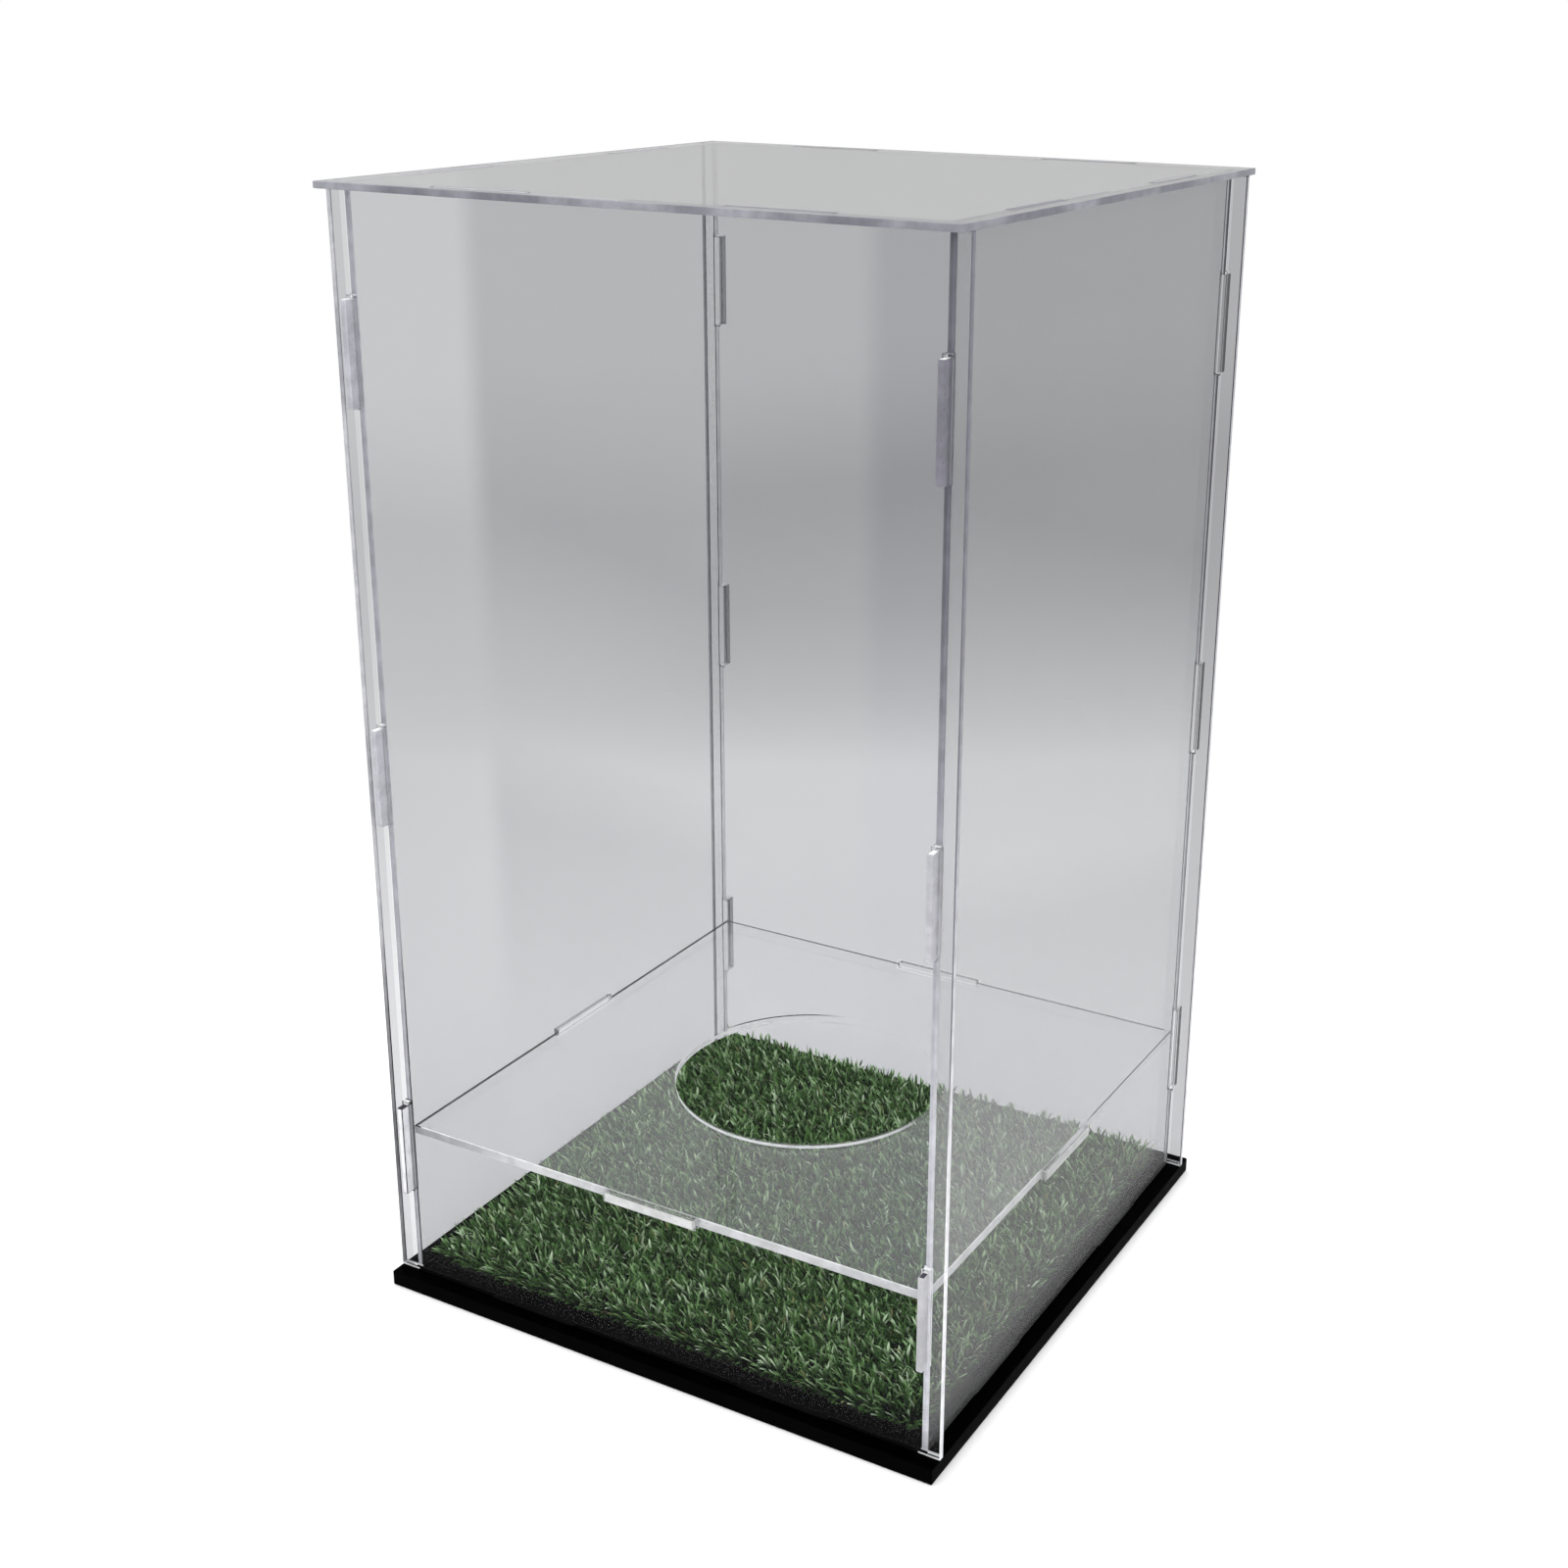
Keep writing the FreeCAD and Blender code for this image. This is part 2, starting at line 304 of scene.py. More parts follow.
def lowFrontTabs(f):
    x, y, z = f.axis("X"), f.axis("Y"), f.axis("Z")
    corners = (x * x) > acrylic["tabReach"] ** 2
    return ((0 - y) > acrylic["wing"]) * corners * between(z, *acrylic["lowTabLevels"])


def backTabs(f):
    x, y = f.axis("X"), f.axis("Y")
    return (y > acrylic["wing"]) * (1 - ((x * x) > acrylic["wing"] ** 2))


def heldEdges(f):
    # what the side sheets hold against the back sheet
    x, y = f.axis("X"), f.axis("Y")
    return between(y, acrylic["farSide"], acrylic["wing"]) * (1 - ((x * x) > acrylic["wing"] ** 2))


def farSides(f):
    return (f.axis("Y") > acrylic["farSide"]) | ((0 - f.axis("X")) > acrylic["farSide"])


def shelfSlots(f):
    x, y, z = f.axis("X"), f.axis("Y"), f.axis("Z")
    reach = acrylic["tabReach"] ** 2
    return (1 - ((x * x) > reach) * ((y * y) > reach)) * between(z, *acrylic["slotLevels"])


def edgeTone(f):
    # painted light and shade as at the corners, with a dark line at the back right, and the side sheets'
    # tabs in tones of their own
    x, y, z = f.axis("X"), f.axis("Y"), f.axis("Z")
    tone = cornerTone(f, acrylic["edgeTones"], acrylic["edgeSpan"])
    wingEnd = f.mix(f.span(z, *acrylic["lineSpan"]), *acrylic["wingEnd"])
    tone = f.mix(((0 - x) > acrylic["end"]) * ((0 - y) > 0), tone, wingEnd)
    tone = f.mix(lowFrontTabs(f), tone, f.mix(x > 0, *acrylic["lowTabs"]))
    line = f.mix(f.span(z, *acrylic["edgeSpan"]), *acrylic["heldTones"])
    tone = f.mix(heldEdges(f) * (x > acrylic["heldLine"]), tone, line)
    return f.mix(backTabs(f), tone, acrylic["behind"])


def edgeShown(f):
    # what touches the back sheet shows in part
    held = heldEdges(f) * (1 - (f.axis("X") > acrylic["heldLine"]))
    return 1 - acrylic["behindClear"] * backTabs(f) - acrylic["heldClear"] * held


def arrisTone(f):
    # painted light and shade as at the corners, but as the edges at the front right, with tones of their
    # own for the back tabs and the shelf's slots
    x, y = f.axis("X"), f.axis("Y")
    tone = cornerTone(f, acrylic["lineTones"], acrylic["lineSpan"])
    tone = f.mix(between(x, 0, acrylic["end"]) * ((0 - y) > 0), tone, edgeTone(f))
    tone = f.mix(backTabs(f), tone, acrylic["tabLine"])
    return f.mix(shelfSlots(f), tone, acrylic["slotLine"])


def arrisShown(f):
    # the shelf's slots at the back and left hardly show, and the side sheets' slots at the back in part
    x, y = f.axis("X"), f.axis("Y")
    corners = between(x * x, acrylic["tabReach"] ** 2, acrylic["end"] ** 2)
    slots = corners * between(y, acrylic["outer"], acrylic["wing"])
    return 1 - acrylic["slotFaint"] * shelfSlots(f) * farSides(f) - acrylic["slotClear"] * slots


def ledgeTone(f):
    # painted highlight in white, and painted shade on the lowest tabs that pass through the front sheet
    return f.mix(lowFrontTabs(f), acrylic["white"], acrylic["gapShade"])


def lidTone(f):
    # painted shade: two greys in broad patches
    patches = f.grain(f.place(), acrylic["lidPatchSize"])
    return f.mix(f.span(patches, *acrylic["lidPatchSpan"]), *acrylic["lidEdge"])


def cutEdge(name, toneOf, gloss=acrylic["edgeGloss"], shownOf=None):
    f = Finish(name)
    ripple = f.grain(f.place(), acrylic["rippleSize"], 2.0, 0.6)
    cloud = f.grain(f.place(), acrylic["cloudSize"], 3.0, 0.6)
    burn = 1 - (1 - acrylic["edgeBurn"]) * f.span(ripple, *acrylic["burnSpan"])
    worn = (acrylic["edgeWorn"] + (1 - acrylic["edgeWorn"]) * f.span(cloud, *acrylic["wornSpan"])) * burn
    wear = f.add("CombineColor", {}, {0: worn, 1: worn, 2: worn})
    return f.paint({"Base Color": f.times(toneOf(f), wear),
                    "Roughness": acrylic["edgeRough"][0] + acrylic["edgeRough"][1] * cloud,
                    "IOR": acrylic["ior"],
                    "Specular IOR Level": gloss,
                    "Alpha": shownOf(f) if shownOf else 1.0,
                    "Normal": f.bump(ripple, *acrylic["edgeBump"])})


def putMesh(name, points, faceSets, finishes):
    # faceSets: pairs of (faces as rows of point numbers, number of their finish)
    mesh = bpy.data.meshes.new(name)
    corners = np.concatenate([faces.ravel() for faces, finish in faceSets])
    counts = np.concatenate([np.full(len(faces), faces.shape[1]) for faces, finish in faceSets])
    numbers = np.concatenate([np.full(len(faces), finish) for faces, finish in faceSets])
    mesh.vertices.add(len(points))
    mesh.vertices.foreach_set("co", np.asarray(points, np.float32).ravel())
    mesh.loops.add(len(corners))
    mesh.loops.foreach_set("vertex_index", corners.astype(np.int32))
    mesh.polygons.add(len(counts))
    mesh.polygons.foreach_set("loop_start", (np.cumsum(counts) - counts).astype(np.int32))
    mesh.polygons.foreach_set("material_index", numbers.astype(np.int32))
    mesh.polygons.foreach_set("use_smooth", np.zeros(len(counts), bool))
    for finish in finishes:
        mesh.materials.append(finish)
    mesh.update(calc_edges=True)
    piece = bpy.data.objects.new(name, mesh)
    bpy.context.scene.collection.objects.link(piece)
    return piece


def breakEdges(piece, finish):
    bevel = piece.modifiers.new("edgeBreak", "BEVEL")
    bevel.width = acrylic["edgeBreak"]
    bevel.segments = acrylic["breakSteps"]
    bevel.limit_method = "ANGLE"
    bevel.angle_limit = math.radians(acrylic["breakAngle"])
    bevel.use_clamp_overlap = False
    bevel.material = finish


def solidMesh(nodeName):
    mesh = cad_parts[nodeName].data
    points = np.empty(len(mesh.vertices) * 3)
    mesh.vertices.foreach_get("co", points)
    corners = np.empty(len(mesh.loops), np.int32)
    mesh.loops.foreach_get("vertex_index", corners)
    return points.reshape(-1, 3), corners.reshape(-1, 3)


# a sheet's finishes; one more, the last, is that of the broken arrises
clear, edge, ledge, foot = range(4)


def uprightFinish(level, across):
    # a front or back sheet keeps its slots clear, a side sheet that of the shelf
    if across == 1:
        return np.where(np.abs(level) > acrylic["end"], edge, clear)
    if across == 0:
        return np.where(np.abs(level) < acrylic["shelfReach"], clear, edge)
    return np.full(len(level), edge)


def levelFinish(reach, level, across):
    if across == 2:
        return np.full(len(level), edge)
    low, high = acrylic["slotLevels"]
    # ledges take the painted white highlight, and what stands in the base the painted shade
    finish = np.where(level > acrylic["topHeight"], edge, ledge)
    finish = np.where((level > low) & (level < high) & (reach < acrylic["shelfReach"]), clear, finish)
    return np.where((level < acrylic["standHeight"]) & (reach < acrylic["wing"]), foot, finish)


def faceFinish(reach, level, across):
    # clear, but for the side sheets' front tabs in painted tones, and the feet of the corners in a painted
    # white glow
    if across == 0:
        return np.where(reach < -acrylic["wing"], edge, clear)
    standing = (np.abs(reach) > acrylic["corner"]) & (level < acrylic["footHeight"]) & (across == 1)
    return np.where(standing, ledge, clear)


def cutSheet(name, nodeName, across, finishes):
    # every level where the sheet's outline turns is a line of a grid, and a cell is kept where its middle
    # lies in a triangle of the sheet's face: kept cells give both faces, and a wall stands wherever a kept
    # cell meets an empty one
    points, triangles = solidMesh(nodeName)
    along = [axis for axis in range(3) if axis != across]
    levels = [np.unique(points[:, axis].round(6)) for axis in along]
    if across == 1:
        levels[1] = np.union1d(levels[1], [acrylic["footHeight"]])
    if across < 2:
        resting = np.abs(levels[1] - acrylic["slotFloor"]) < acrylic["sameLevel"]
        levels[1] = levels[1] - acrylic["hairGap"] * resting
    if across == 0:
        touching = np.abs(np.abs(levels[0]) - acrylic["inner"]) < acrylic["sameLevel"]
        levels[0] = levels[0] - acrylic["hairGap"] * np.sign(levels[0]) * touching
    sides = np.array([points[:, across].min(), points[:, across].max()])
    flat = points[triangles]
    upper = flat[(flat[:, :, across] > sides[1] - acrylic["sameLevel"]).all(axis=1)][:, :, along]
    centres = [(level[1:] + level[:-1]) / 2 for level in levels]
    middles = np.stack(np.meshgrid(*centres, indexing="ij"), axis=-1)
    spots = middles.reshape(-1, 1, 2)
    runs = np.roll(upper, -1, axis=1) - upper
    turns = np.stack([runs[:, k, 0] * (spots[..., 1] - upper[:, k, 1])
                      - runs[:, k, 1] * (spots[..., 0] - upper[:, k, 0]) for k in range(3)], axis=-1)
    kept = ((turns >= 0).all(axis=-1) | (turns <= 0).all(axis=-1)).any(axis=1).reshape(middles.shape[:2])

    shape = (len(levels[0]), len(levels[1]), 2)
    grid = np.arange(np.prod(shape)).reshape(shape)
    places = np.empty(shape + (3,))
    places[..., along[0]] = levels[0][:, None, None]
    places[..., along[1]] = levels[1][None, :, None]
    places[..., across] = sides
    i, j = np.nonzero(kept)
    worn = [np.tile(faceFinish(middles[i, j, 0], middles[i, j, 1], across), 2)]
    first, second, third, fourth = grid[i, j], grid[i + 1, j], grid[i + 1, j + 1], grid[i, j + 1]
    faces = [np.stack([first[:, 1], second[:, 1], third[:, 1], fourth[:, 1]], axis=1),
             np.stack([first[:, 0], fourth[:, 0], third[:, 0], second[:, 0]], axis=1)]
    padded = np.pad(kept, 1).astype(int)
    stepFirst = padded[1:, 1:-1] - padded[:-1, 1:-1]
    stepSecond = padded[1:-1, 1:] - padded[1:-1, :-1]
    for sign in (1, -1):
        i, j = np.nonzero(stepFirst == sign)
        wall = np.stack([grid[i, j, 0], grid[i, j, 1], grid[i, j + 1, 1], grid[i, j + 1, 0]], axis=1)
        faces.append(wall[:, ::sign])
        worn.append(uprightFinish(levels[0][i], across))
        i, j = np.nonzero(stepSecond == sign)
        wall = np.stack([grid[i, j, 0], grid[i + 1, j, 0], grid[i + 1, j, 1], grid[i, j, 1]], axis=1)
        faces.append(wall[:, ::sign])
        worn.append(levelFinish(np.abs(levels[0][i] + levels[0][i + 1]) / 2, levels[1][j], across))
    facing = -1 if across == 1 else 1
    faces, worn = np.concatenate(faces)[:, ::facing], np.concatenate(worn)
    used, numbers = np.unique(faces, return_inverse=True)
    numbers = numbers.reshape(-1, 4)
    piece = putMesh(name, places.reshape(-1, 3)[used],
                    [(numbers[worn == finish], finish) for finish in range(len(finishes))], finishes)
    breakEdges(piece, len(finishes) - 1)
    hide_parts(nodeName)
    return piece


# the cut edges are painted with light and shade: the lid's in greys, the walls' in their tones, with white
# ledges and dark feet
lidEdge = cutEdge("clear_lid_edge", lidTone)
wallEdges = [
    cutEdge("clear_sheet_edge", edgeTone, shownOf=edgeShown),
    cutEdge("clear_sheet_ledge", ledgeTone),
    cutEdge("clear_sheet_foot", lambda f: acrylic["shaded"], gloss=0.0),
    cutEdge("clear_sheet_arris", arrisTone, shownOf=arrisShown),
]
sheets = [
    # name, solid, axis across it, body, gloss, edges
    ("front", "front_panel", 1, "case", "walls", wallEdges),
    ("back", "back_panel", 1, "case", "walls", wallEdges),
    ("left", "left_panel", 0, "case", "walls", wallEdges),
    ("right", "right_panel", 0, "case", "hazy", wallEdges),
    ("lid", "top_panel", 2, "lid", "top", [lidEdge]),
]
for sheet, nodeName, across, body, gloss, edges in sheets:
    piece = cutSheet(sheet + "_sheet", nodeName, across, [clearFace(sheet, acrylic[gloss])] + edges)
    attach(piece, body)
print("display case: walls and lid cut")


# the shelf: a square plate with one tab a side and the round seat of the ball
shelf = {
    "plateHalf": 0.09275,
    "tabHalf": 0.016,
    "seatRadius": 0.045,
    "steps": 240,
    "gloss": (1.05, shade(1, 1, 1), 1.0, 0.955),  # as a wall's: hazy, with a coat that mirrors the room
    # painted light and shade of the clear edges: white, a grey left end, a brighter painted highlight on
    # the seat, and dark lines
    "edge": shade(0.73, 0.74, 0.74),
    "leftEnd": shade(0.48, 0.48, 0.50),   # the left end of the front edge
    "leftSpan": (0.045, 0.088),
    "seat": shade(0.97, 0.98, 0.98),
    "seatReach": 0.05,                    # the seat's edge lies within this
    "seatLevels": (0.0559, 0.0571),       # and shows between these
    "seatSlant": 0.5,                     # its far side is the back, turned right by this
    "seatFade": (0.002, 0.020),           # across its far side, where it goes
    "seatDark": (0.052, 0.062),           # towards its far left, where its arris is dark
    "farLine": shade(0.02, 0.02, 0.025),  # painted shade, along the back and left
    "farEdge": 0.0925,                    # whose edges lie beyond this
    "leftLevel": 0.0567,                  # and show above these
    "backLevel": 0.0573,
    "lowLine": 0.0565,                    # the lower arrises lie below this
    "rightLine": (0.014, 0.026),          # the right edge shows as a line behind this
    "edgeFaint": 0.95,                    # how far edges and arrises go where they hardly show
    "lineFaint": 0.94,
    "tabLineShown": 0.36,                 # and how much less the lower arrises of the tabs
    # painted shade of the tabs' ends
    "tab": shade(0.60, 0.61, 0.61),
    "tabEdge": 0.094,                     # tabs end beyond this
    "rightTabClear": 0.45,                # the right tab is seen through haze
}


def seatRim(f):
    x, y = f.axis("X"), f.axis("Y")
    return 1 - ((x * x + y * y) > shelf["seatReach"] ** 2)


def rightLine(f):
    return f.span(f.axis("Y"), *shelf["rightLine"]) * (f.axis("X") > acrylic["farSide"])


def shelfEdgeTone(f):
    # painted light and shade: white, with a brighter seat, grey towards the left end of the front edge and
    # dark at the back and left
    x, y = f.axis("X"), f.axis("Y")
    tone = f.mix(seatRim(f), shelf["edge"], shelf["seat"])
    tone = f.mix(f.span(0 - x, *shelf["leftSpan"]), tone, shelf["leftEnd"])
    return f.mix(((0 - x) > shelf["farEdge"]) | (y > shelf["farEdge"]), tone, shelf["farLine"])


def shelfEdgeShown(f):
    # the seat shows as one bright line, the left edge as a dark one and the back edge as a finer one
    x, y, z = f.axis("X"), f.axis("Y"), f.axis("Z")
    farSeat = f.span(x * shelf["seatSlant"] + y, *shelf["seatFade"]) * seatRim(f)
    seat = seatRim(f) * (1 - between(z, *shelf["seatLevels"]))
    left = ((0 - x) > shelf["farEdge"]) * (1 - (z > shelf["leftLevel"]))
    back = (y > shelf["farEdge"]) * (1 - (z > shelf["backLevel"]))
    return 1 - shelf["edgeFaint"] * (farSeat | rightLine(f) | seat | left | back)


def shelfLineDark(f):
    # along the back and left of the shelf and the back of its right edge, and on the far left of the seat
    return f.span(f.axis("Y") - f.axis("X"), *shelf["seatDark"]) | farSides(f) | rightLine(f)


def shelfLineTone(f):
    # painted light and shade: white arrises, dark along the back and left, and the slots' line at the front
    # and right
    near = (f.axis("X") > acrylic["inner"]) | ((0 - f.axis("Y")) > acrylic["inner"])
    line = f.mix(shelfLineDark(f), acrylic["white"], shelf["farLine"])
    return f.mix(near, line, acrylic["slotLine"])


def shelfLineShown(f):
    # not round the seat, but for its far left, nor below along the back and left, but for the tabs
    dark = shelfLineDark(f)
    tabs = (f.axis("Y") > shelf["tabEdge"]) | ((0 - f.axis("X")) > shelf["tabEdge"])
    below = dark * (1 - (f.axis("Z") > shelf["lowLine"]))
    seat = shelf["lineFaint"] * seatRim(f) * (1 - dark)
    return 1 - (seat | below * (shelf["lineFaint"] - shelf["tabLineShown"] * tabs))


def tabTone(f):
    # painted shade of the tabs' ends, darker at the back and left
    return f.mix(farSides(f), shelf["tab"], acrylic["behind"])


def tabShown(f):
    right = f.axis("X") > acrylic["farSide"]
    return 1 - shelf["rightTabClear"] * right - acrylic["behindClear"] * farSides(f)


def shelfRing(name, nodeName, finishes):
    # a four-point section carried round the seat: the inner radius is the seat's, the outer one is the
    # longest of the rays to the edge of the square and to the edges of the two bars that end in the tabs
    low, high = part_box(nodeName)
    half, tab, end = shelf["plateHalf"], shelf["tabHalf"], high.x
    corners = [math.atan2(half, half), math.atan2(tab, half), math.atan2(tab, end)]
    corners += [math.pi / 2 - corner for corner in corners]
    turns = np.linspace(0, 2 * math.pi, shelf["steps"], endpoint=False)
    turns = np.concatenate([turns] + [np.array(corners) + quarter * math.pi / 2 for quarter in range(4)])
    turns = np.unique((turns % (2 * math.pi)).round(9))
    c, s = np.cos(turns), np.sin(turns)
    least = 1e-9  # for rays along an axis
    wide, deep = np.maximum(np.abs(c), least), np.maximum(np.abs(s), least)
    square = half / np.maximum(wide, deep)
    bars = np.maximum(np.minimum(end / wide, tab / deep), np.minimum(tab / wide, end / deep))
    outer = np.maximum(square, bars)
    inner = np.full_like(outer, shelf["seatRadius"])
    radii = np.stack([inner, outer, outer, inner], axis=1)
    levels = np.broadcast_to(np.array([high.z, high.z, low.z, low.z]), radii.shape)
    points = np.stack([radii * c[:, None], radii * s[:, None], levels], axis=-1)
    grid = np.arange(len(turns) * 4).reshape(-1, 4)
    after = np.roll(grid, -1, axis=0)
    bands = [np.stack([grid[:, k], grid[:, (k + 1) % 4], after[:, (k + 1) % 4], after[:, k]], axis=1)
             for k in range(4)]
    past = (outer + np.roll(outer, -1)) - (square + np.roll(square, -1))
    proud = past > acrylic["sameLevel"]
    face, cut, tabEnd = range(3)  # the last finish is that of the broken arrises
    faceSets = [(bands[0], face), (bands[2], face), (bands[3], cut),
                (bands[1][~proud], cut), (bands[1][proud], tabEnd)]
    piece = putMesh(name, points.reshape(-1, 3), faceSets, finishes)
    breakEdges(piece, len(finishes) - 1)
    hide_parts(nodeName)
    return piece


shelfFinishes = [
    clearFace("shelf", shelf["gloss"]),
    cutEdge("clear_shelf_edge", shelfEdgeTone, shownOf=shelfEdgeShown),
    cutEdge("clear_shelf_tab", tabTone, shownOf=tabShown),
    cutEdge("clear_shelf_arris", shelfLineTone, shownOf=shelfLineShown),
]
shelfPiece = shelfRing("shelf_sheet", "ball_shelf", shelfFinishes)
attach(shelfPiece, "case")
print("display case: shelf cut")


# the base: a plate of black acrylic with a cut edge
base = {
    "face": shade(0.0002, 0.0002, 0.0003),
    "dust": shade(0.006, 0.006, 0.006),
    "dustSize": 2600.0,
    "dustSpan": (0.74, 0.82),             # of the noise, from none to all
    "dustShare": 0.5,
    "smearSize": 22.0,
    "faceRough": (0.16, 0.14),            # wiped, and more in smears
    "faceGloss": 0.005,
    "edgeTones": (shade(0.0006, 0.0005, 0.0006), shade(0.0024, 0.0020, 0.0022)),
    "rippleSize": 1500.0,                 # marks of the cutter
    "rippleStretch": (1, 1, 0.12),
    "rippleBump": (0.00005, 0.35),        # their depth and strength
    "cloudSize": 60.0,
    "cloudShare": 0.6,
    "edgeRough": (0.30, 0.2),
    "edgeGloss": 0.004,
}


def blackFace():
    f = Finish("black_sheet_face")
    dust = f.grain(f.place(), base["dustSize"], 1.0, 0.5)
    smear = f.grain(f.place(), base["smearSize"], 4.0, 0.6)
    specks = f.span(dust, *base["dustSpan"]) * base["dustShare"]
    return f.paint({"Base Color": f.mix(specks, base["face"], base["dust"]),
                    "Roughness": base["faceRough"][0] + base["faceRough"][1] * smear,
                    "IOR": acrylic["ior"],
                    "Specular IOR Level": base["faceGloss"]})


def blackEdge():
    f = Finish("black_sheet_edge")
    ripple = f.grain(f.place(base["rippleStretch"]), base["rippleSize"], 2.0, 0.6)
    cloud = f.grain(f.place(), base["cloudSize"], 3.0, 0.6)
    return f.paint({"Base Color": f.mix(cloud * base["cloudShare"], *base["edgeTones"]),
                    "Roughness": base["edgeRough"][0] + base["edgeRough"][1] * ripple,
                    "IOR": acrylic["ior"],
                    "Specular IOR Level": base["edgeGloss"],
                    "Normal": f.bump(ripple, *base["rippleBump"])})


basePiece = cutSheet("base_sheet", "base_plate", 2, [blackFace(), blackEdge()])
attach(basePiece, "base")
print("display case: base cut")


# turf: a woven backing with a ragged cut, tufts of blades that lean with the pile, and a frayed fringe
turf = {
    "seed": 23,
    "weaveSize": 320.0,
    "threadSway": 0.6,
    "fuzzSize": 700.0,
    "clothTones": (shade(0.004, 0.005, 0.004), shade(0.022, 0.026, 0.020)),
    "clothPale": (0.6, 0.3),      # how far threads and fuzz lighten it
    "clothRough": (0.75, 0.2),    # and how much more in the fuzz
    "clothGloss": 0.2,
    "clothBump": (0.0003, 0.7),   # depth and strength of the weave
    "fuzzRise": 0.5,              # of the fuzz on it
    "clothSteps": 121,            # points along each side
    "clothLift": 0.0003,          # of its underside, off the base
    "clothWave": 0.0001,          # dimples, and how close they are
    "dimples": 60,
    "rimWaves": ((0.0005, 23, 3), (0.0004, -5, 41)),  # of the cut: reach, closeness along x and y
    "rimPower": 8,                # the higher, the nearer they keep to the rim
    "rimInset": 0.0006,
    "tufts": 60,                  # along each side
    "tuftInset": 0.0010,          # the outermost, from the pile's edge
    "blades": 8,                  # in each tuft
    "pieces": 3,
    "tuftRadius": 0.0012,
    "jitter": 0.0010,             # of a tuft's place
    "rootSink": 0.0004,
    "length": (0.0066, 0.0104),
    "width": (0.00064, 0.00108),
    "twist": 1.1,
    "keel": 0.5,                  # height of a blade's ridge, in half widths
    "rootLean": 0.35,             # share of its lean that a blade has at its root
    "bend": (0.95, 0.12),         # from root to tip: a share of its lean, and more
    "leastLean": (0.02, 0.03),    # a lean under the first gains the second
    "pile": (-0.34, -0.16),       # mean lean of the pile
    "drift": 0.08,                # of its lean, in broad patches
    "driftWaves": ((310, 120), (-170, 260), (90, -340), (420, 210)),
    "driftTint": 0.25,            # and of its tint
    "spread": (0.05, 0.75),       # lean outwards from a tuft's middle
    "scatter": 0.38,
    "cutLean": 0.50,              # extra lean outwards along the cut
    "cutReach": 0.008,
    "fringe": 260,                # loose blades along each side
    "fringeInset": 0.0012,
    "fringeSway": 0.45,
    "fringeLength": (0.0024, 0.0048),
    "fringeLean": (1.4, 3.4),
    "fringeLevel": (0.0056, 0.0074),
    "fringeStart": 0.7,           # where along a blade the fringe's colours start
    "limit": 0.0924,              # blades stay inside the walls
    "limitReach": 0.003,          # and are turned back over this length
    "straw": 0.02,                # share of dry blades
    "strawStart": 0.95,           # where their colours start
    "greens": (
        (0.0, shade(0.015, 0.047, 0.008)), (0.30, shade(0.050, 0.130, 0.027)),
        (0.55, shade(0.135, 0.275, 0.082)), (0.78, shade(0.370, 0.570, 0.275)),
        (0.93, shade(0.730, 0.890, 0.640)), (0.95, shade(0.200, 0.220, 0.080)),
        (1.0, shade(0.330, 0.320, 0.150))),
    # painted shade at the blades' roots, deep in the pile
    "rootPaintedShade": shade(0.05, 0.08, 0.04),
    "rootSpan": (0.32, 0.95),     # along a blade, where the painted shade of the pile ends
    "tintCurve": (0.85, 0.98),
    "tintReach": (0.5, 0.92),     # the palest of the fringe and of the tufts
    "bladeRough": (0.42, 0.14),   # at the root, and less at the tip
    "bladeGloss": 0.10,
    "bladeIor": 1.5,
    "chartAcross": (0.02, 0.96, 0.006),  # start and reach of the tints, half a blade
    "chartUp": (0.01, 0.98),      # a blade's root, and how far up its tip is
}


def backingCloth():
    f = Finish("turf_backing_weave")
    spot = f.place()
    threads = [f.add("TexWave", {"bands_direction": way},
                     {"Vector": spot, "Scale": turf["weaveSize"], "Distortion": turf["threadSway"]})
               for way in ("X", "Y")]
    weave = threads[0] * threads[1]
    fuzz = f.grain(spot, turf["fuzzSize"], 3.0, 0.6)
    pale = weave * turf["clothPale"][0] + fuzz * turf["clothPale"][1]
    return f.paint({"Base Color": f.mix(pale, *turf["clothTones"]),
                    "Roughness": turf["clothRough"][0] + turf["clothRough"][1] * fuzz,
                    "Specular IOR Level": turf["clothGloss"],
                    "Normal": f.bump(weave + fuzz * turf["fuzzRise"], *turf["clothBump"])})


def bladeFinish():
    f = Finish("turf_blade")
    spot = f.add("UVMap", {"uv_map": "OFBake"})
    tint = f.add("SeparateXYZ", {}, {0: spot}, "X")
    along = f.add("SeparateXYZ", {}, {0: spot}, "Y")
    green = f.ramp(tint, *turf["greens"])
    # the roots are painted in shade, where the pile shades them
    tone = f.mix(f.span(along, *turf["rootSpan"]), f.times(green, turf["rootPaintedShade"]), green)
    return f.paint({"Base Color": tone,
                    "Roughness": turf["bladeRough"][0] - turf["bladeRough"][1] * along,
                    "IOR": turf["bladeIor"],
                    "Specular IOR Level": turf["bladeGloss"]})


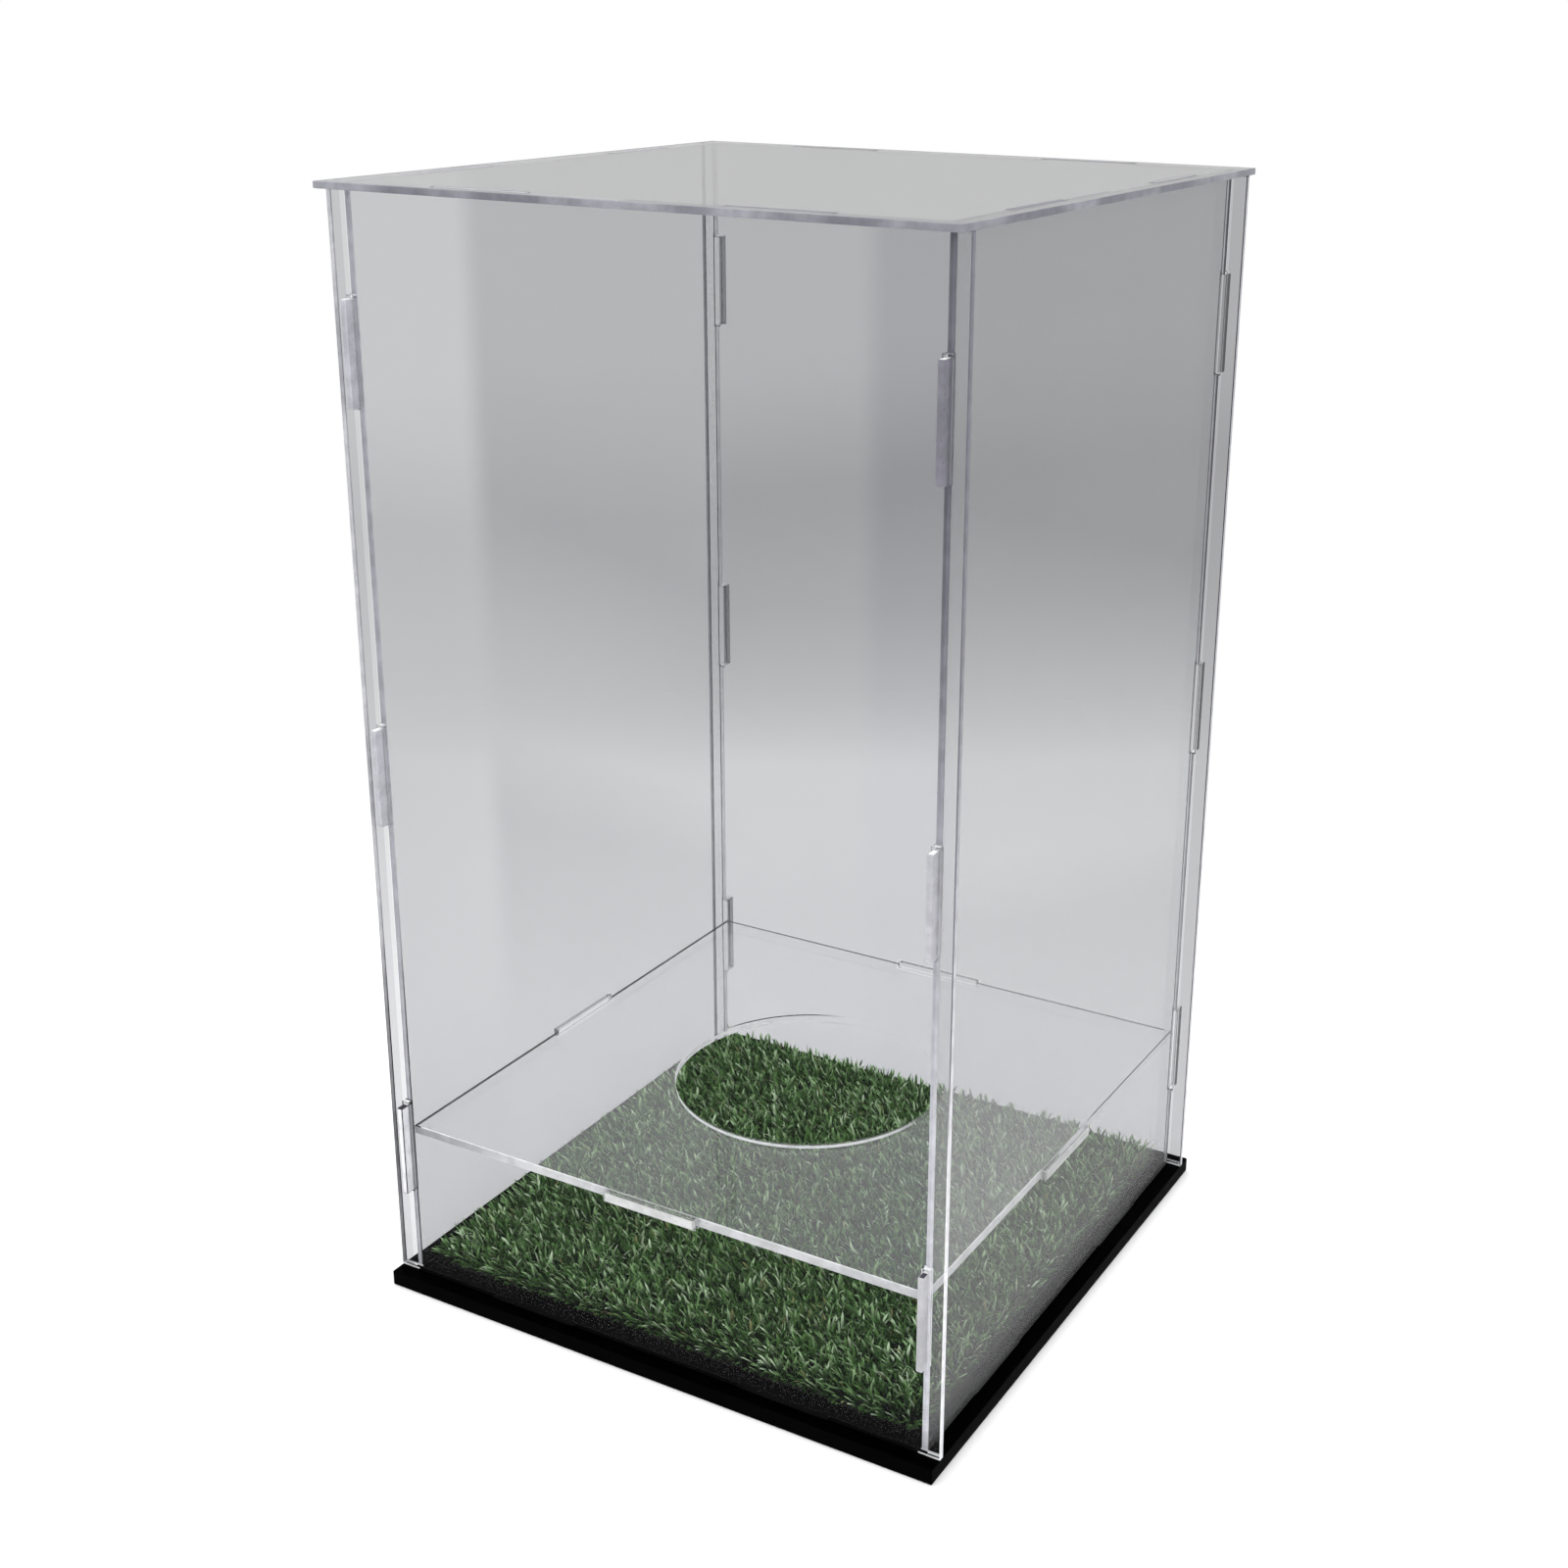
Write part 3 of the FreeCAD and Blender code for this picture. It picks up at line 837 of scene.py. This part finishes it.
def turfBacking(finish):
    # a square grid whose rim wanders by the sum of two waves, given its thickness downwards
    low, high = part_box("turf_backing")
    steps = np.linspace(-1, 1, turf["clothSteps"])
    u, v = np.meshgrid(steps, steps, indexing="ij")
    rim = np.maximum(np.abs(u), np.abs(v)) ** turf["rimPower"]
    wander = sum(reach * np.sin(across * u + along * v) for reach, across, along in turf["rimWaves"])
    x = u * high.x + np.sign(u) * rim * (wander - turf["rimInset"])
    y = v * high.y + np.sign(v) * rim * (wander - turf["rimInset"])
    wave, dimples = turf["clothWave"], turf["dimples"]
    z = high.z - wave + wave * np.sin(dimples * u) * np.sin(dimples * v)
    points = np.stack([x, y, z], axis=-1).reshape(-1, 3)
    grid = np.arange(u.size).reshape(u.shape)
    faces = np.stack([grid[:-1, :-1], grid[1:, :-1], grid[1:, 1:], grid[:-1, 1:]], axis=-1)
    piece = putMesh("turf_backing_cloth", points, [(faces.reshape(-1, 4), 0)], [finish])
    thick = piece.modifiers.new("clothThickness", "SOLIDIFY")
    thick.thickness = high.z - low.z - turf["clothLift"]
    thick.offset = -1
    return piece


def turfBlades(name, roots, lean, length, width, tint, twist, first, finish):
    # a spine whose tilt grows evenly from root to tip carries a three-sided section: two margins half a
    # width to either side and a ridge a quarter of a width above, all drawn to a point at the tip
    level = np.array([0.0, 0.5, 0.84, 1.0])
    taper = np.array([0.80, 1.0, 0.88, 0.0])
    size = np.hypot(lean[:, 0], lean[:, 1])
    heading = lean / size[:, None]
    angle = np.arctan(size)
    start = turf["rootLean"] * angle
    bend = turf["bend"][0] * angle + turf["bend"][1]
    tilt = start[:, None] + bend[:, None] * level
    out = length[:, None] * (np.cos(start)[:, None] - np.cos(tilt)) / bend[:, None]
    up = length[:, None] * (np.sin(tilt) - np.sin(start)[:, None]) / bend[:, None]
    spine = np.concatenate([roots[:, None, :2] + heading[:, None, :] * out[..., None],
                            (roots[:, None, 2] + up)[..., None]], axis=-1)
    turn = twist[:, None] * level + math.pi / 2
    side = np.stack([heading[:, None, 0] * np.cos(turn) - heading[:, None, 1] * np.sin(turn),
                     heading[:, None, 0] * np.sin(turn) + heading[:, None, 1] * np.cos(turn),
                     np.zeros_like(turn)], axis=-1)
    ridge = np.concatenate([-heading[:, None, :] * np.cos(tilt)[..., None], np.sin(tilt)[..., None]],
                           axis=-1)
    half = (width[:, None] * taper / 2)[..., None]
    keel = spine + ridge * half * turf["keel"]
    section = np.stack([spine - side * half, spine + side * half, keel], axis=2)
    points = np.concatenate([section[:, :3].reshape(len(roots), 9, 3), spine[:, 3:]], axis=1)
    soft = turf["limitReach"]
    over = np.abs(points[..., :2]) - turf["limit"] + soft
    back = np.where(over > 0, over - soft * np.tanh(over / soft), 0)
    points[..., :2] -= np.sign(points[..., :2]) * back
    left, right, top = np.arange(0, 9, 3), np.arange(1, 9, 3), np.arange(2, 9, 3)
    quads = np.array([[a[k], b[k], b[k + 1], a[k + 1]] for k in range(2)
                      for a, b in ((left, right), (right, top), (top, left))])
    ends = np.array([[6, 7, 9], [7, 8, 9], [8, 6, 9], [0, 2, 1]])
    block = np.arange(len(roots))[:, None, None] * 10
    quads = (quads + block).reshape(-1, 4)
    ends = (ends + block).reshape(-1, 3)
    piece = putMesh(name, points.reshape(-1, 3), [(quads, 0), (ends, 0)], [finish])
    # the chart: a blade's tint across, its length upwards
    across = np.append(np.tile(np.array([-1, 1, 0.3]), 3), 0)
    firstTint, tints, side = turf["chartAcross"]
    u = firstTint + tints * tint[:, None] + side * across
    rise = np.append(np.repeat(level[:3], 3), 1.0)
    root, tip = turf["chartUp"]
    v = root + tip * (first[:, None] + (1 - first[:, None]) * rise)
    chart = np.stack([u, v], axis=-1).reshape(-1, 2)
    order = np.concatenate([quads.ravel(), ends.ravel()])
    layer = piece.data.uv_layers.new(name="OFBake")
    layer.uv.foreach_set("vector", chart[order].astype(np.float32).ravel())
    return piece


def plantTufts(rng, low, high):
    side, blades = turf["tufts"], turf["blades"]
    count = side * side * blades
    line = np.linspace(low.x + turf["tuftInset"], high.x - turf["tuftInset"], side)
    places = np.stack(np.meshgrid(line, line, indexing="ij"), axis=-1).reshape(-1, 2)
    places = places + rng.uniform(-turf["jitter"], turf["jitter"], places.shape)
    places = np.repeat(places, blades, axis=0)
    turn = rng.uniform(0, 2 * math.pi, count)
    outwards = np.stack([np.cos(turn), np.sin(turn)], axis=1)
    roots = places + outwards * turf["tuftRadius"] * np.sqrt(rng.random(count))[:, None]
    # the pile's lean drifts in broad patches, a tuft opens like a fan, and the cut turns it outwards
    waves = np.array(turf["driftWaves"])
    phase = rng.uniform(0, 2 * math.pi, (2, len(waves)))
    drift = np.sin((roots @ waves.T)[:, None, :] + phase).sum(axis=-1) * turf["drift"]
    lean = np.array(turf["pile"]) + drift + rng.normal(0, turf["scatter"], (count, 2))
    lean += outwards * rng.uniform(*turf["spread"], count)[:, None]
    near = np.abs(roots) - (high.x - turf["cutReach"])
    lean += np.sign(roots) * np.clip(near / turf["cutReach"], 0, 1) * turf["cutLean"]
    length = rng.uniform(*turf["length"], count)
    level = np.full((count, 1), low.z - turf["rootSink"])
    return np.concatenate([roots, level], axis=1), lean, length, drift[:, 0], np.zeros(count)


def plantFringe(rng, high):
    # one row of loose blades along each side of the cut, turned a quarter for the next side
    each = turf["fringe"]
    count = 4 * each
    along = rng.uniform(-high.x, high.x, count)
    out = high.x - rng.uniform(0.0, turf["fringeInset"], count)
    sway = rng.normal(0, turf["fringeSway"], count)
    reach = rng.uniform(*turf["fringeLean"], count)
    quarter = np.repeat(np.arange(4), each) * math.pi / 2
    c, s = np.cos(quarter), np.sin(quarter)
    level = rng.uniform(*turf["fringeLevel"], count)
    roots = np.stack([out * c - along * s, out * s + along * c, level], axis=1)
    lean = np.stack([reach * c - sway * s, reach * s + sway * c], axis=1)
    length = rng.uniform(*turf["fringeLength"], count)
    return roots, lean, length, np.zeros(count), np.full(count, turf["fringeStart"])


def growTurf():
    rng = np.random.default_rng(turf["seed"])
    low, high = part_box("turf_pile")
    planted = zip(plantTufts(rng, low, high), plantFringe(rng, high))
    roots, lean, length, drift, first = map(np.concatenate, planted)  # first: where its colours start
    count = len(roots)
    least, more = turf["leastLean"]
    lean += np.where(np.abs(lean) < least, more, 0.0)
    width = rng.uniform(*turf["width"], count)
    twist = rng.normal(0, turf["twist"], count)
    tint = np.clip(rng.beta(*turf["tintCurve"], count) + drift * turf["driftTint"], 0, 1)
    tint = tint * np.where(first > 0, *turf["tintReach"])
    straw = rng.random(count) < turf["straw"]
    dry = turf["strawStart"] + (1 - turf["strawStart"]) * rng.random(count)
    tint = np.where(straw, dry, tint)
    finish = bladeFinish()
    made = []
    for number, share in enumerate(np.array_split(np.arange(count), turf["pieces"])):
        made.append(turfBlades("turf_blades_%d" % (number + 1), roots[share], lean[share], length[share],
                               width[share], tint[share], twist[share], first[share], finish))
    return made


clothPiece = turfBacking(backingCloth())
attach(clothPiece, "base")
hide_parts("turf_backing")
for piece in growTurf():
    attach(piece, "base")
    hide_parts("turf_pile")
print("display case: turf grown")


# floor, light and camera
studio = {
    "floorRadius": 4.0,
    "floorLevel": -0.0002,
    "floorRings": 12,
    "floorSpokes": 64,
    "firstRing": 0.001,
    "floorTone": shade(0.95, 0.95, 0.95),
    "floorRough": 0.9,
    "floorGloss": 0.1,
    "fibreSize": 900.0,
    "fibreBump": (0.0001, 0.1),   # depth and strength
    "fade": (0.12, 0.60),         # from the middle, where the floor goes white
    "wall": 0.58,                 # brightness of the room just above the horizon, white below
    "horizon": (-0.004, 0.06),
    "ceiling": 1.0,               # and higher up
    "cove": (0.16, 0.40),
    "aim": (0, 0, 0.15),
    "lamps": [
        # name, place, size, power
        ("overhead", (-0.2, -0.3, 2.3), 2.2, 24.0),
        ("leftFront", (-1.7, -1.6, 1.3), 1.4, 14.0),
        ("rightFront", (1.9, -0.6, 1.2), 1.4, 9.0),
    ],
}


def seenDirectly(f):
    camera = f.add("LightPath", out="Is Camera Ray")
    glossy = f.add("LightPath", out="Is Glossy Ray")
    return camera | glossy | f.add("LightPath", out="Is Transmission Ray")


def floorFinish():
    f = Finish("floor_paper")
    spot = f.add("TexCoord", out="Object")
    away = f.add("VectorMath", {"operation": "LENGTH"}, {0: spot}, "Value")
    fade = f.span(away, *studio["fade"]) * seenDirectly(f)
    fibre = f.grain(spot, studio["fibreSize"], 2.0, 0.6)
    paper = f.add("BsdfPrincipled", {}, {"Base Color": studio["floorTone"],
                                         "Roughness": studio["floorRough"],
                                         "Specular IOR Level": studio["floorGloss"],
                                         "Normal": f.bump(fibre, *studio["fibreBump"])})
    white = f.add("Emission", {}, {"Color": shade(1, 1, 1), "Strength": 1.0})
    return f.done(f.add("MixShader", {}, {0: fade, 1: paper, 2: white}))


def layFloor():
    # rings of equal steps round the case, closed by a small first ring
    radii = np.linspace(studio["firstRing"], studio["floorRadius"], studio["floorRings"])
    turns = np.linspace(0, 2 * math.pi, studio["floorSpokes"], endpoint=False)
    r, t = np.meshgrid(radii, turns, indexing="ij")
    points = np.stack([r * np.cos(t), r * np.sin(t), np.full_like(r, studio["floorLevel"])], axis=-1)
    grid = np.arange(r.size).reshape(r.shape)
    after = np.roll(grid, -1, axis=1)
    faces = np.stack([grid[:-1], grid[1:], after[1:], after[:-1]], axis=-1).reshape(-1, 4)
    putMesh("floor", points.reshape(-1, 3), [(faces, 0)], [floorFinish()])


def hangLamps():
    for name, spot, size, power in studio["lamps"]:
        lamp = bpy.data.lights.new(name, "AREA")
        lamp.size = size
        lamp.energy = power
        stand = bpy.data.objects.new(name, lamp)
        stand.location = spot
        stand.rotation_euler = (Vector(studio["aim"]) - Vector(spot)).to_track_quat("-Z", "Y").to_euler()
        bpy.context.scene.collection.objects.link(stand)


def lightRoom():
    f = Finish("room", world=True)
    rise = f.add("SeparateXYZ", {}, {0: f.add("TexCoord", out="Generated")}, "Z")
    strength = 1 - (1 - studio["wall"]) * f.span(rise, *studio["horizon"])
    strength = strength + (studio["ceiling"] - studio["wall"]) * f.span(rise, *studio["cove"])
    return f.done(f.add("Background", {}, {"Color": shade(1, 1, 1), "Strength": strength}))


# the camera, fitted to the case's corners
view = {
    "place": (0.3260, -0.5510, 0.4046),
    "azimuth": 29.295,
    "elevation": 19.543,
    "roll": 0.552,
    "sensor": 36.0,
    "lens": 48.90,
    "shift": (-0.0462, -0.0265),
    "clip": (0.01, 100.0),
}


def setCamera():
    az, el, roll = (math.radians(view[word]) for word in ("azimuth", "elevation", "roll"))
    forward = Vector((-math.sin(az) * math.cos(el), math.cos(az) * math.cos(el), -math.sin(el)))
    level = Vector((math.cos(az), math.sin(az), 0))
    upright = level.cross(forward)
    right = math.cos(roll) * level + math.sin(roll) * upright
    up = math.cos(roll) * upright - math.sin(roll) * level
    lens = bpy.data.cameras.new("photo_view")
    lens.sensor_width = view["sensor"]
    lens.lens = view["lens"]
    lens.shift_x, lens.shift_y = view["shift"]
    lens.clip_start, lens.clip_end = view["clip"]
    camera = bpy.data.objects.new("photo_view", lens)
    camera.matrix_world = Matrix((right, up, -forward)).transposed().to_4x4()
    camera.location = view["place"]
    bpy.context.scene.collection.objects.link(camera)
    bpy.context.scene.camera = camera


layFloor()
hangLamps()
bpy.context.scene.world = lightRoom()
setCamera()
bpy.context.scene.view_settings.view_transform = "Standard"
print("display case: stage set")
